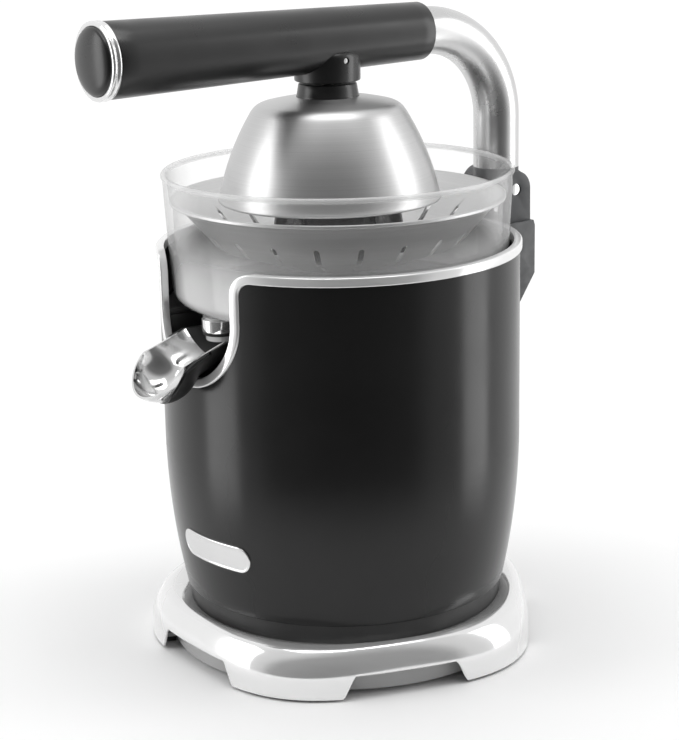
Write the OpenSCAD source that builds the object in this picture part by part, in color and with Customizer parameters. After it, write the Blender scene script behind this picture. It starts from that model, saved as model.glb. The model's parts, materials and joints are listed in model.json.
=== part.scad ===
// Lever citrus press juicer: hinged arm with a press dome over a motor-driven
// reamer, a clear juice bowl with a strainer, a chrome foot and a drip-stop spout.
// Millimetres. +Z is up, the spout points along -Y and the lever hinge is at +Y.

/* [Body] */
// Outer radius of the body shell
body_r = 99; // [98:0.5:100]
// Height of the top edge of the body trim above the table
body_top = 226.5; // [225:0.5:228]
// Width of the chrome trim band
trim_w = 5; // [4:0.5:5.5]
// Half width of the front slot inside the trim
slot_r = 33; // [31:0.5:33.5]

/* [Foot] */
// Outer radius of the chrome foot
foot_r = 107.5; // [107:0.2:108.5]
// Half angle of the open arches between the feet, at the table
arch_half = 19; // [16:0.5:20]

/* [Bowl] */
// Height of the bowl rim above the table
rim_z = 266; // [262:1:268]
// Number of strainer slots in each ring
strainer_slots = 20; // [14:1:24]

/* [Arm] */
// Height of the horizontal arm axis above the table
arm_z = 335; // [334:0.5:337]
// Outer radius of the arm tube
tube_r = 13; // [12.5:0.1:13]
// Radius of the arm bend, measured to the tube axis
bend_r = 52; // [48:1:54]
// Radius of the grip at its thick front end
grip_front_r = 19.5; // [18.6:0.1:20]
// Radius of the grip at its thin back end
grip_back_r = 15.75; // [15:0.05:16.5]

/* [Reamer] */
// Radius of the reamer ribs at the base
reamer_r = 38; // [36:0.5:39]
// Number of reamer ribs
reamer_ribs = 10; // [6:1:12]
// Tooth module of the gear train
gear_m = 1; // [1:0.1:1]

/* [Hidden] */
$fn = 96;
eps = 0.01;

// body
shell_t = 3;
shell_bottom = 35;
side_arc_r = 405;
side_arc_z = 120;
trim_in_r = 95.6;
trim_out_r = body_r + 1.2;
slot_z = 198.3;
corner_x = slot_r + 12;
corner_z = body_top - 12;
deck_z = 191.5;

// foot
foot_n = 5;
foot_step = 360 / foot_n;
foot_arc_r = 25;
foot_arc_z = 10;
foot_low = 1.2;
arch_top = 13.5;

// lever hinge and grip
grip_y = -142;
hinge_y = 112.8;
hinge_z = 242.2;
pin_r = 3.4;
run = 0.05;

// press dome, a little forward of the body's axis
neck_y = -5.5;
dome_low = 250;
side_r = 139.4;
side_x = -76.7;
side_z = 223.8;
cap_r = 150;
cap_z = 156.1;
dome_t = 1.2;
tilt_z = 325;

// spout, in its own slanted frame with its origin on the rim plane
spout_y = -85;
spout_z = 188;
spout_slope = 19;
trough_r = 19.5;
trough_up = 6;
nose_y = -35;
nose_r = 18.9;
spout_pin_y = -80;
spout_pin_z = 170.5;
outlet_y = -79;

// gear train: 14 teeth on the motor, a 40 and 14 tooth idler, 48 on the reamer
motor_teeth = 14;
idler_big = 40;
idler_small = 14;
output_teeth = 48;
idler_y = gear_m * (idler_small + output_teeth) / 2;
motor_x = -gear_m * (motor_teeth + idler_big) / 2;
shaft_r = 4;
plate_z = 108;
cover_z = 146;

// ---- shared shapes ----

module tube(ro, ri, z0, z1) {
    difference() {
        translate([0, 0, z0]) cylinder(r = ro, h = z1 - z0);
        translate([0, 0, z0 - 1]) cylinder(r = ri, h = z1 - z0 + 2);
    }
}

// cylinder along X between x0 and x1 at the given Y and Z
module bar_x(r, x0, x1, y, z) {
    translate([x0, y, z]) rotate([0, 90, 0]) cylinder(r = r, h = x1 - x0);
}

// cylinder along Y between y0 and y1 at the given X and Z
module bar_y(r, y0, y1, x, z) {
    translate([x, y1, z]) rotate([90, 0, 0]) cylinder(r = r, h = y1 - y0);
}

// an outline drawn in X and Z, pushed through the front from y0 to y1
module front_slab(y0, y1) {
    translate([0, y1, 0]) rotate([90, 0, 0]) linear_extrude(height = y1 - y0) children();
}

// U outline of the front slot, grown by g, with its flared top corners
module slot_outline(g) {
    translate([0, slot_z]) circle(r = slot_r + g);
    translate([-slot_r - g, slot_z]) square([2 * (slot_r + g), 40]);
    difference() {
        translate([-corner_x, corner_z]) square([2 * corner_x, 12 - g]);
        for (s = [-1, 1]) translate([s * corner_x, corner_z]) circle(r = 12 - g);
    }
}

// half profile of the body side, grown by g
module side_profile(g) {
    intersection() {
        translate([body_r - side_arc_r, side_arc_z]) circle(r = side_arc_r + g, $fn = 180);
        translate([0, shell_bottom]) square([body_r + g, side_arc_z - shell_bottom]);
    }
    translate([0, side_arc_z]) square([body_r + g, body_top - side_arc_z]);
}

// point of an involute at roll angle t, in degrees
function involute_r(rb, t) = rb * sqrt(1 + pow(t * PI / 180, 2));
function involute_a(t) = t - atan(t * PI / 180);
function roll_at(rb, r) = sqrt(pow(r / rb, 2) - 1) * 180 / PI;

// outline of an involute gear with a little backlash
module gear_outline(teeth) {
    rp = gear_m * teeth / 2;
    rb = rp * cos(20);
    ra = rp + 0.8 * gear_m;
    rf = rp - 1.15 * gear_m;
    r0 = max(rb, rf);
    half = 90 / teeth - 3 / rp + involute_a(roll_at(rb, rp));
    t0 = roll_at(rb, r0);
    t1 = roll_at(rb, ra);
    steps = 4;
    polygon([for (i = [0 : teeth - 1]) each concat(
        [rf * [cos(360 * i / teeth - half), sin(360 * i / teeth - half)]],
        [for (k = [0 : steps]) let (t = t0 + (t1 - t0) * k / steps,
            a = 360 * i / teeth - half + involute_a(t))
            involute_r(rb, t) * [cos(a), sin(a)]],
        [for (k = [steps : -1 : 0]) let (t = t0 + (t1 - t0) * k / steps,
            a = 360 * i / teeth + half - involute_a(t))
            involute_r(rb, t) * [cos(a), sin(a)]],
        [rf * [cos(360 * i / teeth + half), sin(360 * i / teeth + half)]])]);
}

// ---- foot ----

// half profile of the foot's outer surface, shrunk by g
module foot_profile(g) {
    intersection() {
        union() {
            translate([foot_r - foot_arc_r, foot_arc_z]) circle(r = foot_arc_r - g);
            translate([80, -5]) square([foot_r - g - 80, foot_arc_z + 5]);
        }
        polygon([[80, -5], [120, -5], [120, 28.2 - g], [96.5, 28.2 - g], [80, 21.4 - g]]);
    }
}

// one open arch between two feet, pushed out along -Y
module arch_cut() {
    w0 = foot_r * sin(arch_half);
    w1 = w0 - 5.5;
    front_slab(-120, -80) {
        polygon([[-w0 - 1, -5], [w0 + 1, -5], [w1 + 2, arch_top - 2], [w1, arch_top],
            [-w1, arch_top], [-w1 - 2, arch_top - 2]]);
    }
}

module base_shroud() {
    color([0.80, 0.81, 0.83])
    difference() {
        rotate_extrude() difference() {
            foot_profile(0);
            foot_profile(1.5);
            translate([70, -6]) square([88.05 - 70, 60]);
            translate([70, -6]) square([60, 6 + foot_low]);
        }
        for (i = [0 : foot_n - 1]) rotate([0, 0, i * foot_step]) arch_cut();
        bar_y(5.6, 90, 120, 0, 12);
    }
}

module foot_sector(ri, ro, z0, z1, half) {
    for (i = [0 : foot_n - 1]) rotate([0, 0, foot_step / 2 + i * foot_step])
        intersection() {
            tube(ro, ri, z0, z1);
            linear_extrude(height = 60) polygon([[0, 0], [-200 * tan(half), -200],
                [200 * tan(half), -200]]);
        }
}

module base_tray() {
    color([0.62, 0.63, 0.64])
    difference() {
        union() {
            translate([0, 0, 3]) cylinder(r = 98.4, h = 2.5);
            tube(98.4, 96, 3, 20);
            foot_sector(98, foot_r - 1.8, 4.2, 6.4, 14);
        }
        for (a = [90, 210, 330]) rotate([0, 0, a]) translate([70, 0, 0])
            cylinder(r = 2.1, h = 20);
        for (a = [0 : 30 : 330]) rotate([0, 0, a]) translate([28, -1.5, 0])
            cube([22, 3, 10]);
        bar_y(5.6, 80, 120, 0, 12);
    }
}

module foot_pads() {
    color([0.10, 0.10, 0.10]) {
        foot_sector(98.8, foot_r - 2, 0, 4.2, 12);
        // centre pad, under the drive that takes the pressing force
        cylinder(r = 12, h = 3);
    }
}

module tray_screws() {
    color([0.55, 0.56, 0.58])
    for (a = [90, 210, 330]) rotate([0, 0, a]) translate([70, 0, 0]) {
        translate([0, 0, 1.2]) cylinder(r = 4, h = 1.8);
        translate([0, 0, 3]) cylinder(r = 2, h = 16);
    }
}

module cord_gland() {
    color([0.08, 0.08, 0.08])
    difference() {
        union() {
            bar_y(5.5, 94, 108, 0, 12);
            bar_y(7.4, 107.6, 111, 0, 12);
            bar_y(5, 111, 115.5, 0, 12);
        }
        bar_y(3.3, 90, 120, 0, 12);
    }
}

// ---- body ----

module neck_ring() {
    color([0.13, 0.13, 0.14])
    tube(88, 85.5, 5.5, shell_bottom);
}

module body_shell() {
    color([0.05, 0.05, 0.055])
    difference() {
        rotate_extrude() union() {
            difference() {
                side_profile(0);
                side_profile(-shell_t);
            }
            translate([84, shell_bottom]) square([5, 3]);
            translate([93, deck_z - 3.5]) square([3.5, 3.3]);
        }
        front_slab(-115, -50) slot_outline(trim_w);
        translate([0, 0, body_top - trim_w]) cylinder(r = 150, h = 20);
    }
}

module shell_trim() {
    color([0.86, 0.87, 0.88])
    difference() {
        intersection() {
            tube(trim_out_r, trim_in_r, 150, body_top);
            union() {
                translate([0, 0, body_top - trim_w]) cylinder(r = 150, h = trim_w);
                front_slab(-115, -50) slot_outline(trim_w);
            }
        }
        front_slab(-115, -50) slot_outline(0);
        translate([-60, -115, body_top - eps]) cube([120, 70, 30]);
    }
}

module badge() {
    color([0.80, 0.80, 0.81])
    rotate([0, 0, 6]) intersection() {
        rotate_extrude() difference() {
            side_profile(0.9);
            side_profile(0.05);
        }
        front_slab(-115, -60) translate([0, 69.5]) union() {
            square([40, 15], center = true);
            for (s = [-1, 1]) translate([s * 20, 0]) circle(r = 7.5);
        }
    }
}

module body_deck() {
    color([0.12, 0.12, 0.13])
    difference() {
        union() {
            translate([0, 0, deck_z]) cylinder(r = 95.3, h = 3);
            translate([0, 0, deck_z]) cylinder(r = 7.5, h = 20.5);
        }
        translate([-33, -120, deck_z - 1]) cube([66, 62, 8]);
        translate([0, 0, deck_z - 1]) cylinder(r = 5, h = 30);
        translate([0, 0, 202]) cylinder(r = 6, h = 20);
    }
}

module spout_bay() {
    color([0.07, 0.07, 0.07])
    difference() {
        union() {
            intersection() {
                difference() {
                    translate([-35, -100, 158]) cube([70, 44, deck_z - 158]);
                    translate([-33, -101, 160]) cube([66, 43, 60]);
                }
                cylinder(r = 95.4, h = 300);
            }
            for (s = [-1, 1]) translate([s * 23.85 - 1.25, -86, 159])
                cube([2.5, 12, 17]);
        }
        bar_x(2.05, -30, 30, spout_pin_y, spout_pin_z);
    }
}

module spout_pin() {
    color([0.70, 0.71, 0.72])
    bar_x(2, -26, 26, spout_pin_y, spout_pin_z);
}

// ---- bowl and strainer ----

module juice_bowl() {
    color([0.80, 0.86, 0.88, 0.45])
    difference() {
        union() {
            rotate_extrude() difference() {
                union() {
                    translate([8, 196]) square([76, 8]);
                    translate([84, 204]) circle(r = 8);
                    polygon([[8, 204], [92, 204], [95.5, rim_z - 1.5], [8, rim_z - 1.5]]);
                    translate([94.4, rim_z - 1.9]) circle(r = 1.9);
                    translate([95.3, rim_z - 5]) circle(r = 0.8);
                }
                translate([-1, 198.5]) square([85, 90]);
                translate([84, 204]) circle(r = 5.5);
                polygon([[80, 204], [89.5, 204], [90.2, 249.5], [91.8, 249.5],
                    [92.8, rim_z - 2], [92.8, rim_z + 5], [80, rim_z + 5]]);
            }
            tube(10.5, 8, 196, 214);
            for (a = [30 : 60 : 330]) rotate([0, 0, a]) translate([9.5, -1, 198])
                cube([16, 2, 9]);
            translate([0, outlet_y, 183]) cylinder(r = 7.8, h = 14);
        }
        translate([0, outlet_y, 180]) cylinder(r = 6, h = 30);
    }
}

module outlet_seal() {
    color([0.05, 0.05, 0.05])
    translate([0, outlet_y, 0]) tube(9.2, 7.85, 186, 187.8);
}

module outlet_ring() {
    color([0.75, 0.76, 0.77])
    translate([0, outlet_y, 0]) tube(9.6, 7.85, 187.8, 194.5);
}

module strainer() {
    color([0.70, 0.70, 0.70])
    difference() {
        rotate_extrude() polygon([[91.5, 251.2], [88.4, 251.2], [80, 241.7],
            [66, 226.7], [36, 216.2], [12.5, 216], [12.5, 215], [36.2, 215.2],
            [66.5, 225.8], [80.8, 241], [88.9, 250], [91.5, 249.6]]);
        for (i = [0 : strainer_slots - 1]) rotate([0, 0, (i + 0.5) * 360 / strainer_slots]) {
            translate([61, -1.6, 210]) cube([15, 3.2, 40]);
            translate([43, -1.1, 210]) cube([13, 2.2, 40]);
        }
    }
}

// ---- gearbox and motor ----

module gearbox_outline(g) {
    circle(r = 27 + g);
    translate([0, idler_y]) circle(r = 23 + g);
    translate([motor_x, idler_y]) circle(r = 10 + g);
    translate([motor_x, idler_y - 10 - g]) square([-motor_x, 20 + 2 * g]);
}

module gearbox_plate() {
    color([0.30, 0.31, 0.33])
    difference() {
        union() {
            translate([0, 0, plate_z]) cylinder(r = 78, h = 4);
            translate([0, 0, plate_z]) linear_extrude(height = cover_z - plate_z)
                gearbox_outline(2.5);
            for (a = [90, 210, 330]) rotate([0, 0, a]) translate([70, 0, 5.5])
                cylinder(r = 5, h = plate_z - 5);
        }
        difference() {
            translate([0, 0, plate_z + 4]) linear_extrude(height = 60) gearbox_outline(0);
            cylinder(r = 6.6, h = 118);
            translate([0, idler_y, 0]) cylinder(r = 5, h = plate_z + 4.8);
        }
        translate([0, 0, plate_z - 1]) cylinder(r = 5.45, h = 30);
        translate([0, idler_y, plate_z + 1]) cylinder(r = 3, h = 60);
        translate([motor_x, idler_y, plate_z - 1]) cylinder(r = 9, h = 10);
        for (a = [90, 210, 330]) rotate([0, 0, a]) translate([70, 0, 0])
            cylinder(r = 2.05, h = 24);
        for (p = [[29, 38], [-42, 21], [24, -20], [-24, -20]]) translate([p[0], p[1], 140])
            cylinder(r = 1.4, h = 10);
    }
    for (p = [[28.5, 0], [-28.5, 0]]) translate([p[0] - 1, -4, plate_z + 4])
        cube([2, 8, cover_z - plate_z - 4]);
}

module gearbox_cover() {
    color([0.34, 0.35, 0.37])
    difference() {
        translate([0, 0, cover_z]) linear_extrude(height = 3) gearbox_outline(2.5);
        translate([0, 0, cover_z - 1]) cylinder(r = 4.6, h = 10);
        translate([0, idler_y, cover_z - 1]) cylinder(r = 3, h = 10);
        for (a = [225, 315]) rotate([0, 0, a]) translate([24, 0, cover_z - 1])
            cylinder(r = 1.5, h = 10);
    }
}

module cover_screws() {
    color([0.60, 0.60, 0.62])
    for (a = [225, 315]) rotate([0, 0, a]) translate([24, 0, 0]) {
        translate([0, 0, cover_z + 3]) cylinder(r = 2.8, h = 2);
        translate([0, 0, cover_z - 3]) cylinder(r = 1.4, h = 6);
    }
}

module motor_can() {
    color([0.55, 0.56, 0.58])
    translate([motor_x, idler_y, 0]) difference() {
        translate([0, 0, 48]) cylinder(r = 28, h = 57);
        translate([0, 0, 50]) cylinder(r = 26, h = 60);
        translate([0, 0, 40]) cylinder(r = 2.55, h = 20);
    }
}

module motor_cap() {
    color([0.50, 0.51, 0.53])
    translate([motor_x, idler_y, 0]) tube(28, 2.55, 105, plate_z);
}

module lower_bushing() {
    color([0.72, 0.56, 0.28])
    tube(5.4, shaft_r + run, plate_z, 118);
}

module upper_bushing() {
    color([0.72, 0.56, 0.28])
    tube(5.95, shaft_r + run, 202, 211.5);
}

module idler_axle() {
    color([0.70, 0.71, 0.72])
    translate([0, idler_y, plate_z + 1]) cylinder(r = 2.95, h = cover_z - plate_z + 1.5);
}

module start_switch() {
    color([0.15, 0.15, 0.16])
    union() {
        translate([-5, -24, plate_z + 4]) cube([10, 7, 8]);
        translate([0, -20.5, plate_z + 10]) cylinder(r = 1.5, h = 5.2);
    }
}

module press_spring() {
    color([0.65, 0.66, 0.68])
    translate([0, 0, 112.2]) linear_extrude(height = 13.5, twist = -360 * 5,
        slices = 90, $fn = 8) translate([8.2, 0]) circle(r = 0.7);
}

// ---- lever hinge ----

module hinge_bracket() {
    color([0.30, 0.31, 0.32])
    difference() {
        union() {
            for (x0 = [-18, 14]) translate([x0, 0, 0]) rotate([90, 0, 90])
                linear_extrude(height = 4) union() {
                    translate([hinge_y, hinge_z]) circle(r = 10.5);
                    translate([hinge_y - 10.5, 215]) square([21, hinge_z - 215]);
                }
            translate([-21.5, 0, 0]) rotate([90, 0, 90]) linear_extrude(height = 43)
                polygon([[90, 224], [123, 224], [124, 221], [124, 193], [97, 154],
                    [90, 154]]);
        }
        cylinder(r = body_r, h = 300);
        translate([0, 0, body_top - trim_w - 0.5]) cylinder(r = trim_out_r + 0.1, h = 90);
        bar_x(pin_r + run, -30, 30, hinge_y, hinge_z);
        for (x = [-12, 12]) {
            bar_y(3.5, 121.5, 130, x, 207);
            bar_y(2.05, 90, 130, x, 207);
        }
    }
}

module hinge_pin() {
    color([0.85, 0.86, 0.87])
    bar_x(pin_r, -17.4, 17.4, hinge_y, hinge_z);
}

module bracket_screws() {
    color([0.60, 0.61, 0.62])
    for (x = [-12, 12]) {
        bar_y(3.4, 121.5, 123.7, x, 207);
        bar_y(2, 99.6, 121.5, x, 207);
    }
}

// ---- lever arm ----

// horizontal tapered solid of the grip, grown by g
module grip_solid(g) {
    translate([0, 57, arm_z]) rotate([90, 0, 0])
        cylinder(r1 = grip_back_r + g, r2 = grip_front_r + g, h = 57 - grip_y);
}

// tube along the arm's route, from the front end back, round the bend and down
module arm_route(r) {
    bar_y(r, -126, hinge_y - bend_r, 0, arm_z);
    translate([0, hinge_y - bend_r, arm_z - bend_r]) rotate([0, -90, 0])
        rotate_extrude(angle = 90) translate([bend_r, 0]) circle(r = r);
    translate([0, hinge_y, 254]) cylinder(r = r, h = arm_z - bend_r - 254);
}

// the upright bore and the cross hole that hold the press dome
module neck_holes() {
    translate([0, neck_y, 300]) cylinder(r = 7.3, h = arm_z - 300);
    bar_x(1.55, -30, 30, neck_y, tilt_z);
}

module arm_tube() {
    color([0.72, 0.72, 0.73])
    difference() {
        arm_route(tube_r);
        arm_route(tube_r - 2);
        neck_holes();
    }
}

module arm_knuckle() {
    color([0.45, 0.46, 0.47])
    difference() {
        union() {
            bar_x(11.5, -13.6, 13.6, hinge_y, hinge_z);
            translate([0, hinge_y, hinge_z]) cylinder(r = tube_r, h = 254 - hinge_z);
            translate([0, hinge_y, hinge_z]) cylinder(r = tube_r - 2.1, h = 24);
        }
        bar_x(pin_r + run, -30, 30, hinge_y, hinge_z);
    }
}

module grip() {
    color([0.06, 0.06, 0.06])
    difference() {
        grip_solid(0);
        bar_y(tube_r + 0.05, -126.5, 60, 0, arm_z);
        neck_holes();
    }
}

module grip_ring() {
    color([0.86, 0.87, 0.88])
    difference() {
        union() {
            bar_y(20, grip_y - 2.1, grip_y, 0, arm_z);
            bar_y(19.3, grip_y - 3, grip_y - 2, 0, arm_z);
            bar_y(20, grip_y - 5.1, grip_y - 2.9, 0, arm_z);
        }
        bar_y(17.3, grip_y - 12, grip_y + 8, 0, arm_z);
    }
}

module grip_cap() {
    color([0.06, 0.06, 0.06])
    translate([0, grip_y, arm_z]) rotate([90, 0, 0]) rotate_extrude() intersection() {
        square([17.2, 9.6]);
        translate([0, -27.4]) circle(r = 37);
    }
}

module neck_socket() {
    color([0.06, 0.06, 0.06])
    difference() {
        translate([0, neck_y, 313.5]) cylinder(r = 17.8, h = 17.5);
        grip_solid(0.05);
        neck_holes();
    }
}

module neck_pin() {
    color([0.75, 0.76, 0.77])
    bar_x(1.5, -17, 17, neck_y, tilt_z);
}

// ---- press dome ----

module dome_profile(g) {
    intersection() {
        translate([side_x, side_z]) circle(r = side_r - g, $fn = 180);
        translate([0, cap_z]) circle(r = cap_r - g, $fn = 180);
        translate([0, dome_low - g]) square([90, 90]);
    }
}

module press_dome() {
    color([0.74, 0.75, 0.76])
    translate([0, neck_y, 0]) difference() {
        rotate_extrude() union() {
            difference() {
                dome_profile(0);
                dome_profile(dome_t);
            }
            translate([59.6, dome_low + 0.6]) circle(r = 1);
        }
        translate([0, 0, 290]) cylinder(r = 4.55, h = 30);
    }
}

module dome_collar() {
    color([0.06, 0.06, 0.06])
    translate([0, neck_y, 0]) difference() {
        translate([0, 0, 303]) cylinder(r1 = 16.8, r2 = 15.5, h = 9.2);
        translate([0, 0, cap_z]) sphere(r = cap_r + 0.02);
        translate([0, 0, 290]) cylinder(r = 4.55, h = 40);
    }
}

module dome_stem() {
    color([0.70, 0.71, 0.72])
    translate([0, neck_y, 0]) difference() {
        union() {
            intersection() {
                translate([0, 0, 301.8]) cylinder(r = 12, h = 8);
                translate([0, 0, cap_z]) sphere(r = cap_r - dome_t - 0.03);
            }
            translate([0, 0, 302]) cylinder(r = 4.5, h = 29);
        }
        bar_x(1.55, -20, 20, 0, tilt_z);
    }
}

// ---- spout ----

module spout_frame() {
    translate([0, spout_y, spout_z]) rotate([spout_slope, 0, 0]) children();
}

module trough(r, y0, y1) {
    bar_y(r, y0, y1, 0, trough_up);
}

module spout_chute() {
    color([0.80, 0.81, 0.82])
    spout_frame() difference() {
        union() {
            trough(trough_r + 1.2, nose_y, -4);
            translate([0, nose_y, -1]) sphere(r = nose_r + 1.2);
        }
        trough(trough_r, nose_y, 0);
        translate([0, nose_y, -1]) sphere(r = nose_r);
        translate([-50, -80, 0]) cube([100, 100, 60]);
        translate([-50, nose_y + 1, 0]) rotate([34, 0, 0]) translate([0, -60, 0])
            cube([100, 60, 60]);
    }
}

module spout_cradle() {
    color([0.07, 0.07, 0.07])
    difference() {
        union() {
            spout_frame() difference() {
                trough(trough_r + 2.8, -14, 19);
                trough(trough_r + 1.25, -15, -4);
                trough(trough_r, -5, 17);
                translate([-50, -80, 0]) cube([100, 120, 60]);
            }
            difference() {
                bar_x(4, -21, 21, spout_pin_y, spout_pin_z);
                spout_frame() trough(trough_r + 1.5, -10, 18);
            }
        }
        bar_x(2.05, -30, 30, spout_pin_y, spout_pin_z);
        translate([-50, -100, 186.5]) cube([100, 60, 30]);
    }
}

// ---- reamer drive ----

module thrust_plate() {
    color([0.55, 0.56, 0.58])
    difference() {
        union() {
            translate([0, 0, 126]) cylinder(r = 13, h = 3);
            translate([-5, -25, 126]) cube([10, 20, 3]);
        }
        translate([0, 0, 120]) cylinder(r = 4.3, h = 20);
    }
}

module drive_shaft() {
    color([0.72, 0.73, 0.74])
    translate([0, 0, 105.5]) cylinder(r = shaft_r, h = 156.5);
}

module output_gear() {
    color([0.85, 0.83, 0.76])
    difference() {
        union() {
            translate([0, 0, 133]) linear_extrude(height = 8) gear_outline(output_teeth);
            translate([0, 0, 129.2]) cylinder(r = 8, h = 4);
        }
        translate([0, 0, 120]) cylinder(r = shaft_r + 0.01, h = 40);
    }
}

// half ogive with base radius rb and side radius rs, standing on z
module ogive(rb, rs, z) {
    intersection() {
        translate([rb - rs, z]) circle(r = rs, $fn = 180);
        translate([0, z]) square([rb + 1, rs]);
    }
}

module reamer_cone() {
    color([0.10, 0.10, 0.10])
    difference() {
        union() {
            rotate_extrude() ogive(reamer_r - 4, 88, 220);
            for (i = [0 : reamer_ribs - 1]) rotate([90, 0, i * 360 / reamer_ribs])
                translate([0, 0, -1.3]) linear_extrude(height = 2.6)
                    ogive(reamer_r, 89, 220);
            translate([0, 0, 250]) cylinder(r = 4.5, h = 43.5);
        }
        difference() {
            translate([0, 0, -0.01]) rotate_extrude() ogive(reamer_r - 7, 86, 220);
            cylinder(r = 9, h = 300);
        }
        // flat underside, all ribs and the core cut at one height
        translate([-50, -50, 210]) cube([100, 100, 10.5]);
        translate([0, 0, 200]) cylinder(r = shaft_r + 0.01, h = 62);
    }
}

module idler_gear() {
    color([0.85, 0.83, 0.76])
    translate([0, idler_y, 0]) difference() {
        union() {
            translate([0, 0, 115]) linear_extrude(height = 6) gear_outline(idler_big);
            translate([0, 0, 121]) rotate([0, 0, 270 + 180 / idler_small])
                linear_extrude(height = 23) gear_outline(idler_small);
            translate([0, 0, 113]) cylinder(r = 5, h = 2);
        }
        translate([0, 0, 100]) cylinder(r = 3, h = 60);
    }
}

module motor_shaft() {
    color([0.72, 0.73, 0.74])
    translate([motor_x, idler_y, 0]) union() {
        translate([0, 0, 39]) cylinder(r = 2.5, h = 88);
        translate([0, 0, 113]) rotate([0, 0, 180 / motor_teeth])
            linear_extrude(height = 10) gear_outline(motor_teeth);
    }
}

module armature() {
    color([0.60, 0.38, 0.22])
    translate([motor_x, idler_y, 0]) tube(19, 2.52, 58, 96);
}

module cooling_fan() {
    color([0.20, 0.20, 0.21])
    translate([motor_x, idler_y, 0]) difference() {
        union() {
            translate([0, 0, 39]) cylinder(r = 7, h = 7);
            translate([0, 0, 39]) cylinder(r = 24, h = 1.2);
            for (i = [0 : 6]) rotate([0, 0, i * 360 / 7]) translate([6, -0.8, 39])
                cube([17, 1.6, 6.5]);
        }
        translate([0, 0, 30]) cylinder(r = 2.52, h = 30);
    }
}

base_shroud();
base_tray();
foot_pads();
tray_screws();
neck_ring();
body_shell();
shell_trim();
badge();
cord_gland();
body_deck();
spout_bay();
spout_pin();
juice_bowl();
outlet_seal();
outlet_ring();
strainer();
gearbox_plate();
gearbox_cover();
cover_screws();
motor_can();
motor_cap();
lower_bushing();
upper_bushing();
idler_axle();
start_switch();
press_spring();
hinge_bracket();
hinge_pin();
bracket_screws();
arm_tube();
arm_knuckle();
grip();
grip_ring();
grip_cap();
neck_socket();
neck_pin();
dome_stem();
dome_collar();
press_dome();
spout_chute();
spout_cradle();
thrust_plate();
drive_shaft();
output_gear();
reamer_cone();
idler_gear();
motor_shaft();
armature();
cooling_fan();
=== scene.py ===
import json
import math
import bpy
import bmesh
from mathutils import Matrix, Vector

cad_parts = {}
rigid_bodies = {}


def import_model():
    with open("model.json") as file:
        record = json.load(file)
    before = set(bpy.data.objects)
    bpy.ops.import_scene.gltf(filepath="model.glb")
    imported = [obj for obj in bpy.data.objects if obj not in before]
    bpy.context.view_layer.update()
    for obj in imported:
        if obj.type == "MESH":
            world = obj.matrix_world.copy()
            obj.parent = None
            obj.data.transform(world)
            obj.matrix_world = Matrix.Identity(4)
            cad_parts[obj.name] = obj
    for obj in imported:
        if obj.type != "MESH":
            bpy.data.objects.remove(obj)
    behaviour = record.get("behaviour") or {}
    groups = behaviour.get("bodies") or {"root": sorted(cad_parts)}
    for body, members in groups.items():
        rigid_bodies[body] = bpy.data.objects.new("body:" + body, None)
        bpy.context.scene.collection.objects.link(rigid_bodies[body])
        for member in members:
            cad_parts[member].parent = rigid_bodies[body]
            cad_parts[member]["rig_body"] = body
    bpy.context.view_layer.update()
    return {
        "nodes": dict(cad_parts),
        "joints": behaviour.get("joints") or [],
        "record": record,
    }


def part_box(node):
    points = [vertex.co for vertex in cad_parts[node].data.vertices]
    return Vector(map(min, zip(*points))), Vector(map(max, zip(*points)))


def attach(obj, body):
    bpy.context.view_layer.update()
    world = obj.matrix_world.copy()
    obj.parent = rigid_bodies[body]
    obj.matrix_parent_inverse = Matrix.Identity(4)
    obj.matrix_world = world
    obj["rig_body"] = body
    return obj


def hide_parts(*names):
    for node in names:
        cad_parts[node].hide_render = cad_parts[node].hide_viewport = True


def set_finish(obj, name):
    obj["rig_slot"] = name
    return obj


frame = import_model()
NODES = frame["nodes"]
JOINT = {j["name"]: j for j in frame["joints"]}
MM = 0.001
scene = bpy.context.scene


# ---------------------------------------------------------------- camera

# The camera stands 54 degrees round from the front, a little above the rim, and looks down.
AZIMUTH = math.radians(54)
PITCH, ROLL, YAW = math.radians(15.41), math.radians(1.19), math.radians(0.35)
DISTANCE, HEIGHT = 1.076, 0.446


def in_object(v):
    """Turns a direction given as right, away, up for the viewer into the row frame."""
    c, s = math.cos(AZIMUTH), math.sin(AZIMUTH)
    return Vector((v[0] * c - v[1] * s, v[0] * s + v[1] * c, v[2]))


def make_camera():
    cp, sp = math.cos(PITCH), math.sin(PITCH)
    cy, sy = math.cos(YAW), math.sin(YAW)
    cr, sr = math.cos(ROLL), math.sin(ROLL)
    ahead = Vector((-cp * sy, cp * cy, -sp))
    right0, up0 = Vector((cy, sy, 0)), Vector((-sp * sy, sp * cy, cp))
    right, up = right0 * cr - up0 * sr, right0 * sr + up0 * cr
    x, y, z = in_object(right), in_object(up), -in_object(ahead)
    where = in_object((0, -DISTANCE, 0)) + Vector((0, 0, HEIGHT))
    data = bpy.data.cameras.new("camera")
    data.sensor_width, data.lens = 36, 97.3
    data.shift_x, data.shift_y = 0.0134, 0.0058
    data.clip_start, data.clip_end = 0.05, 20
    cam = bpy.data.objects.new("camera", data)
    scene.collection.objects.link(cam)
    cam.matrix_world = Matrix(((x[0], y[0], z[0], where[0]), (x[1], y[1], z[1], where[1]),
                               (x[2], y[2], z[2], where[2]), (0, 0, 0, 1)))
    scene.camera = cam


make_camera()


# ---------------------------------------------------------------- materials

def material(name, color, metallic=0.0, roughness=0.4, **sockets):
    """A principled material and its node helpers."""
    mat = bpy.data.materials.new(name)
    mat.use_nodes = True
    tree = mat.node_tree
    shader = tree.nodes["Principled BSDF"]
    shader.inputs["Base Color"].default_value = (*color, 1)
    shader.inputs["Metallic"].default_value = metallic
    shader.inputs["Roughness"].default_value = roughness
    for key, value in sockets.items():
        shader.inputs[key.replace("_", " ")].default_value = value
    mat.diffuse_color = (*color, 1)
    return mat


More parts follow.
